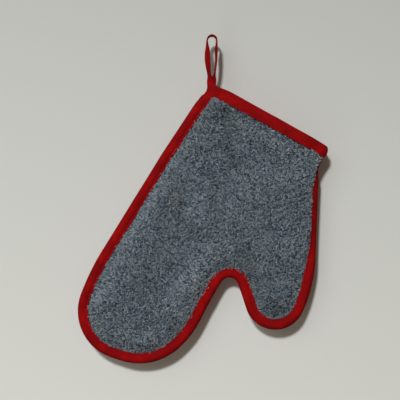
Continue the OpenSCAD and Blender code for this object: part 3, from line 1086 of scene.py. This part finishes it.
def cuff_binding():
    rows = []
    probe = mouth_section(-6, 0)
    run = np.r_[0, np.cumsum(np.linalg.norm(np.diff(probe, axis=0), axis=1))]
    wave, hem = wander(run, 19, 5.0), wander(run, 10, 6.0)
    at_end = np.minimum(probe[:, 0], 145 - probe[:, 0])
    thick_end = (1 - smooth((at_end - 8) / 8)) * smooth((probe[:, 0] - 5) / 14)
    dimple = 0.28 * (0.5 + 0.5 * np.cos(2 * math.pi * run / STITCH))
    profile = [(-11.9, 0.75), (-12.1, 1.2), (-11.6, 1.6), (-10.9, 1.55), (-10.3, 1.3), (-9.6, 1.6), (-8, 1.9)]
    profile += [(-6, 1.95), (-4, 1.8), (-2, 1.5), (-0.6, 0.9), (0.3, 0.0)]
    for v, off in profile:
        lift = off + thick_end * 1.5 * smooth((-v + 3) / 9) + 0.2 * wave * (off > 1)
        lift = lift - dimple * math.exp(-(((v + 10.3) / 0.8) ** 2))
        ring = mouth_section(v, 0)
        outer = mouth_section(v, 1)
        direction = outer - ring
        ring = ring + direction * lift[:, None]
        ring[:, 1] = v + 0.35 * hem * smooth((-v - 9) / 2) + 0.15 * wave
        rows.append(ring)
    hidden = mouth_section(0.3, -0.7)
    rows.append(hidden)
    for v, inner in [(0.5, 4.4), (-0.4, 5.2), (-2, 5.6), (-8, 5.6), (-11.8, 5.4), (-12, 5.0), (-11.6, 4.75)]:
        ring = pocket_section(v, inner)
        ring[:, 1] = v + 0.3 * hem * (v < -9)
        rows.append(ring)
    for v, inner in [(-8, 4.7), (-2.5, 4.6)]:
        rows.append(pocket_section(v, inner))
    for v, off in [(-1.6, 0.1), (-4, 0.5), (-8, 0.6)]:
        lift = off + thick_end * 1.5 * smooth((-v + 3) / 9)
        ring, outer = mouth_section(v, 0), mouth_section(v, 1)
        ring = ring + (outer - ring) * lift[:, None]
        ring[:, 1] = v
        rows.append(ring)
    rings = np.stack(rows, 1)
    return skin("cuff_binding_tape", rings, TAPE, loop=True)


CUFF_TAPE = face_out(cuff_binding())
print("cuff binding", len(CUFF_TAPE.data.polygons), "faces")

# %% [markdown]
# ## The hanging loop
# The loop is the same tape folded in four and stitched down one long edge. It stands edge-on over the
# hook, and each leg twists as it runs down to be tacked, flat, to the corner of the mouth. A path
# with a width direction at each point gives the ribbon its twist.

# %% Hanging loop
LOOP_W, LOOP_T = 11.0, 1.5
# x, z of the tape's middle, half its width across the view, its turn from edge-on in degrees
LEFT_LEG = [(-5.2, 0, 0), (-5.0, -6, 12), (-4.8, -12, 28), (-4.75, -20, 30), (-3.9, -28, 24), (-3.3, -33, 21)]
LEFT_LEG += [(-2.8, -37, 17), (-2.4, -39.5, 30), (-1.5, -42, 62), (-0.7, -45, 88), (-0.7, -52, 90)]
RIGHT_LEG = [(5.2, 0, 0), (4.6, -6, -8), (4.5, -10, -13), (4.5, -21, -7), (3.9, -28, -6), (3.2, -33, -5)]
RIGHT_LEG += [(2.5, -37, -8), (2.0, -39.5, -28), (1.0, -42, -62), (-0.3, -45, -88), (-0.4, -52, -90)]


def loop_ribbon():
    """Stations (x, y, z, turn) from the left leg's end up over the hook and down the right leg."""
    stations = []
    for k, (x, z, turn) in enumerate(reversed(LEFT_LEG)):
        stations.append((x, -0.85 * smooth((-z - 28) / 10), z, turn))
    radius = 5.2
    for k in range(1, 12):
        t = math.pi * k / 12
        stations.append((-radius * math.cos(t), 0.0, radius * math.sin(t), 0.0))
    for k, (x, z, turn) in enumerate(RIGHT_LEG):
        stations.append((x, 0.85 * smooth((-z - 28) / 10), z, turn))
    stations = np.array(stations)
    gaps = np.linalg.norm(np.diff(stations[:, :3], axis=0), axis=1)
    run = np.r_[0, np.cumsum(gaps)]
    fine = np.arange(0, run[-1], 0.8)
    out = np.stack([np.interp(fine, run, stations[:, k]) for k in range(4)], -1)
    for _ in range(8):
        out[1:-1] = (out[:-2] + 2 * out[1:-1] + out[2:]) / 4
    return out, fine


def ribbon_frames():
    stations, run = loop_ribbon()
    middle = stations[:, :3]
    along = np.gradient(middle, axis=0)
    along /= np.linalg.norm(along, axis=1)[:, None]
    turn = np.radians(stations[:, 3])
    depth = np.array([0.0, 1.0, 0.0])
    across = np.cross(along, depth)
    wide = np.cos(turn)[:, None] * depth + np.sin(turn)[:, None] * across
    thin = np.cross(along, wide)
    return middle, wide, thin, run


def hanging_loop():
    middle, wide, thin, run = ribbon_frames()
    half_w, half_t = LOOP_W / 2 - 1.1 * smooth((-middle[:, 2] - 26) / 14), LOOP_T / 2
    section = []
    for k in range(28):
        t = 2 * math.pi * k / 28
        c, s = math.cos(t), math.sin(t)
        section.append((math.copysign(abs(c) ** 0.45, c), math.copysign(abs(s) ** 0.7, s)))
    rings = []
    ripple = wander(run, 8, 8.0)
    for w, t in section:
        crease = 0.2 * math.exp(-(((w - 0.7) / 0.12) ** 2)) + 0.15 * math.exp(-(((w + 0.1) / 0.1) ** 2))
        grow = half_t * (t - math.copysign(crease, t) * (abs(t) > 0.5))
        rings.append(middle + wide * (w * half_w + 0.1 * ripple)[:, None] + thin * grow)
    rings = np.stack(rings, 1)
    piece = skin_frame("hanging_loop_tape", rings, TAPE)
    return piece


def skin_frame(name, rings, material, loop=False):
    """As skin, for points that are already (x, y, z) in mm as the object hangs."""
    rings = np.asarray(rings, float)
    x, y, z = rings[..., 0] - CORNER_X, rings[..., 1], rings[..., 2] - CORNER_Z
    u = x * math.cos(HANG) - z * math.sin(HANG)
    v = x * math.sin(HANG) + z * math.cos(HANG)
    return skin(name, np.stack([u, v, y], -1), material, loop)


LOOP = face_out(hanging_loop())
print("hanging loop", len(LOOP.data.polygons), "faces")

# %% [markdown]
# ## Stitches
# A row of stitches is one small bar of thread repeated along a line, so Geometry Nodes carry it: the
# line is resampled at the stitch length and a short round-ended bar is instanced at each point.


# %% The stitch tree
def stitch_tree():
    inputs = [("Pitch", "float"), ("Length", "float"), ("Thread radius", "float"), ("Finish", "material")]
    tree, sockets, out = group("stitch_row", inputs)
    curve = add_node(tree, "GeometryNodeMeshToCurve", Mesh=sockets["Geometry"])
    even = add_node(
        tree, "GeometryNodeResampleCurve", {"mode": "LENGTH"}, Curve=curve.outputs[0], Length=sockets["Pitch"]
    )
    spots = add_node(tree, "GeometryNodeCurveToPoints", {"mode": "EVALUATED"}, Curve=even.outputs[0])
    ball = add_node(tree, "GeometryNodeMeshUVSphere", Segments=6, Rings=4, Radius=sockets["Thread radius"])
    share = add_node(
        tree, "ShaderNodeMath", {"operation": "DIVIDE"}, i0=sockets["Length"], i1=sockets["Thread radius"]
    )
    stretch = add_node(tree, "ShaderNodeMath", {"operation": "MULTIPLY"}, i0=share.outputs[0], i1=0.5)
    scale = add_node(tree, "ShaderNodeCombineXYZ", X=1.0, Y=1.0, Z=stretch.outputs[0])
    aligned = add_node(
        tree, "FunctionNodeAlignRotationToVector", {"axis": "Z"}, Vector=spots.outputs["Tangent"]
    )
    placed = add_node(
        tree,
        "GeometryNodeInstanceOnPoints",
        Points=spots.outputs["Points"],
        Instance=ball.outputs["Mesh"],
        Rotation=aligned.outputs[0],
        Scale=scale.outputs[0],
    )
    real = add_node(tree, "GeometryNodeRealizeInstances", Geometry=placed.outputs[0])
    finish = add_node(tree, "GeometryNodeSetMaterial", Geometry=real.outputs[0], Material=sockets["Finish"])
    tree.links.new(finish.outputs[0], out.inputs[0])
    return tree


STITCHES = stitch_tree()
STITCH_SIZES = {"Pitch": STITCH / MM, "Length": 2.3 / MM, "Thread radius": 0.32 / MM, "Finish": THREAD}


def stitched(name, lines, **changes):
    """Stitches along lines of points in metres."""
    mesh = bpy.data.meshes.new(name + "_lines")
    points, edges = [], []
    for line in lines:
        start = len(points)
        points += [tuple(p) for p in line]
        edges += [(start + k, start + k + 1) for k in range(len(line) - 1)]
    mesh.from_pydata(points, edges, [])
    piece = grown(mesh, STITCHES, {**STITCH_SIZES, **changes}, name)
    piece.data.shade_smooth()
    print(name, len(piece.data.polygons), "faces")
    return piece


side_run = np.arange(11.0, EDGE_LENGTH - 11, 1.0)
sewn_in = np.full(len(side_run), SEW_IN)
side_rows = [hung(tape_point(side_run, sewn_in, np.full(len(side_run), n))) for n in (3.75, -3.75)]
SIDE_STITCHES = stitched("side_seam_stitches", side_rows)
ring = mouth_section(-10.3, 1.35)
half = len(ring) // 2
cuff_rows = [hung(ring[6 : half - 6]), hung(ring[half + 6 : -6])]
CUFF_STITCHES = stitched("cuff_seam_stitches", cuff_rows)
middle, wide, thin, run = ribbon_frames()
keep = slice(6, -6)
loop_rows = [(middle + wide * 3.4 + thin * n)[keep] / MM for n in (0.68, -0.68)]
LOOP_STITCHES = stitched("loop_edge_stitches", loop_rows, **{"Thread radius": 0.24 / MM})
bar_z = -48.6 - 0.9 * np.arange(5)


def on_corner(x, z, way):
    """The point of the corner's tapes met first from the front (way -1) or the back, in metres."""
    start, along = Vector((x, way * 30, z)) / MM, Vector((0, -way, 0))
    seen = [piece.ray_cast(start, along) for piece in (CUFF_TAPE, LOOP)]
    met = [place.y * way for hit, place, _, _ in seen if hit]
    return Vector((x / MM, way * (max(met, default=0.003) + 0.0001), z / MM))


bpy.context.view_layer.update()
bars = [[on_corner(x, z, way) for x in np.linspace(-4.3, 3.4, 14)] for z in bar_z for way in (-1, 1)]
bar_sizes = {"Pitch": 1.4 / MM, "Length": 2.4 / MM, "Thread radius": 0.22 / MM}
BARTACK = stitched("loop_bartack_stitches", bars, **bar_sizes)

# %% [markdown]
# ## Riding on the bodies
# The mitt is one body and the loop is another. Everything sewn to the panels rides on the mitt; the
# loop's tape and stitches are only set in place as they hang.

# %% Bodies
for label in ("front", "back"):
    terry, wadding, lining = (LAYERS[label, kind] for kind in ("terry", "wadding", "lining"))
    for piece in (terry, wadding, lining, *PILES[label]):
        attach(piece, "mitt")
    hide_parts(f"{label}_terry_panel")
    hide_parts(f"{label}_wadding")
    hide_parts(f"{label}_lining")

for piece, node, material_slot in (
    (SIDE_TAPE, "side_binding", "binding"),
    (CUFF_TAPE, "cuff_binding", "binding"),
    (SIDE_STITCHES, "side_seam_thread", "thread"),
    (CUFF_STITCHES, "cuff_seam_thread", "thread"),
    (BARTACK, "loop_bartack", "thread"),
):
    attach(piece, "mitt")
    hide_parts(node)
for piece, node, material_slot in (
    (LOOP, "hanging_loop", "binding"),
    (LOOP_STITCHES, "loop_edge_thread", "thread"),
):
    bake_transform(piece)
    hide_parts(node)

# %% [markdown]
# ## The room
# The mitt hangs close in front of a pale painted wall, in soft daylight from the upper left. The wall
# only takes the shadow: it doesn't hide the mitt from behind, and it goes with the mitt when the loop
# folds, so that no pose buries the mitt in plaster. A pale floor lies well below, and a pale shell
# stands far off. Both give an even pale ground by their own paint, and neither lights the mitt.


# %% Wall and floor
def painted_wall():
    made, tree, shader = new_material("emulsion_paint_rolled_offwhite")
    place = add_node(tree, "ShaderNodeTexCoord").outputs["Object"]
    roller = add_node(tree, "ShaderNodeTexNoise", Vector=place, Scale=MM / 3, Detail=4.0)
    bump = add_node(tree, "ShaderNodeBump", Strength=0.05, Distance=0.0005, Height=roller.outputs["Fac"])
    # painted shade: the paint is darker towards the top, standing in for light that falls off there
    height = add_node(tree, "ShaderNodeSeparateXYZ", Vector=place).outputs["Z"]
    painted_wall_falloff = add_node(
        tree, "ShaderNodeMapRange", Value=height, From_Min=-0.4, From_Max=0.05, To_Min=1.0, To_Max=0.7
    )
    multiply = {"data_type": "RGBA", "blend_type": "MULTIPLY"}
    colour = add_node(tree, "ShaderNodeMix", multiply, i0=1.0, i7=painted_wall_falloff.outputs[0])
    colour.inputs[6].default_value = linear("d2d3ce")
    tree.links.new(colour.outputs[2], shader.inputs["Base Color"])
    shader.inputs["Roughness"].default_value = 0.85
    shader.inputs["Specular IOR Level"].default_value = 0.2
    tree.links.new(bump.outputs["Normal"], shader.inputs["Normal"])
    # seen from behind, the wall is open, so that the mitt's back shows
    side = add_node(tree, "ShaderNodeNewGeometry").outputs["Backfacing"]
    clear = add_node(tree, "ShaderNodeBsdfTransparent")
    mix = add_node(tree, "ShaderNodeMixShader", Fac=side, i1=shader.outputs[0], i2=clear.outputs[0])
    tree.links.new(mix.outputs[0], tree.nodes["Material Output"].inputs["Surface"])
    return made


def plane(name, corners, material):
    mesh = bpy.data.meshes.new(name)
    mesh.from_pydata(corners, [], [(0, 1, 2, 3)])
    mesh.materials.append(material)
    made = bpy.data.objects.new(name, mesh)
    scene.collection.objects.link(made)
    return made


WALL_Y = 0.0235
PAINT = painted_wall()
wall = plane("wall", [(-3, WALL_Y, -3), (3, WALL_Y, -3), (3, WALL_Y, 3), (-3, WALL_Y, 3)], PAINT)
wall.parent = frame["bodies"]["mitt"]
wall.visible_shadow = False
wall.visible_diffuse = False
# a pale shell stands far off for the views past the wall; it lights nothing
shell_paint, _, shell_shader = new_material("emulsion_paint_far_room")
shell_shader.inputs["Base Color"].default_value = (0, 0, 0, 1)
shell_shader.inputs["Specular IOR Level"].default_value = 0.0
shell_shader.inputs["Emission Color"].default_value = linear("c4c5c2")
shell_shader.inputs["Emission Strength"].default_value = 1.0
shell_paint.cycles.emission_sampling = "NONE"
ball = bmesh.new()
bmesh.ops.create_icosphere(ball, subdivisions=4, radius=8.0)
shell_mesh = bpy.data.meshes.new("far_room")
ball.to_mesh(shell_mesh)
ball.free()
shell_mesh.materials.append(shell_paint)
shell = bpy.data.objects.new("far_room", shell_mesh)
scene.collection.objects.link(shell)
shell.visible_diffuse = shell.visible_glossy = shell.visible_shadow = shell.visible_transmission = False
floor = plane("floor", [(-20, -20, -1.6), (20, -20, -1.6), (20, 20, -1.6), (-20, 20, -1.6)], shell_paint)
floor.visible_diffuse = floor.visible_glossy = False

print("the wall stands", WALL_Y, "m behind the hook's axis")

# %% [markdown]
# ## Light and camera
# One small lamp from the upper left casts the shadow and a wider one beside it softens it. A low fill
# from the left keeps it pale, and a lamp behind the wall's plane lights the mitt's back for the views
# from behind. The camera stands square in front of the wall with a long lens.


# %% Lamps, world and camera
def lamp(name, place, target, size, power, code="ffffff"):
    data = bpy.data.lights.new(name, "AREA")
    data.energy, data.size, data.color = power, size, linear(code)[:3]
    made = bpy.data.objects.new(name, data)
    made.location = place
    made.rotation_mode = "QUATERNION"
    made.rotation_quaternion = (Vector(target) - Vector(place)).to_track_quat("-Z", "Y")
    scene.collection.objects.link(made)
    return made


MIDDLE = (-0.013, 0, -0.17)
lamp("window", (-0.62, -2.8, 1.15), MIDDLE, 0.3, 83, "fcfdff")
lamp("window_glow", (-1.5, -2.2, 0.9), MIDDLE, 1.6, 13, "fcfdff")
lamp("room_fill", (-0.9, -1.2, -1.1), MIDDLE, 1.0, 2.4, "fffaf0")
lamp("back_fill", (0.25, 1.9, 0.5), MIDDLE, 1.2, 38, "ffffff")
world = bpy.data.worlds.new("pale_room")
world.use_nodes = True
world.node_tree.nodes["Background"].inputs["Color"].default_value = linear("f2e6cf")
world.node_tree.nodes["Background"].inputs["Strength"].default_value = 0.17
scene.world = world
scene.view_settings.view_transform = "Standard"
eye = bpy.data.cameras.new("camera")
eye.lens, eye.sensor_width = 77, 36
camera = bpy.data.objects.new("camera", eye)
camera.location = (-0.0126, -0.9, -0.168)
camera.rotation_euler = (math.radians(90), 0, 0)
scene.collection.objects.link(camera)
scene.camera = camera

print("lens", eye.lens, "mm")
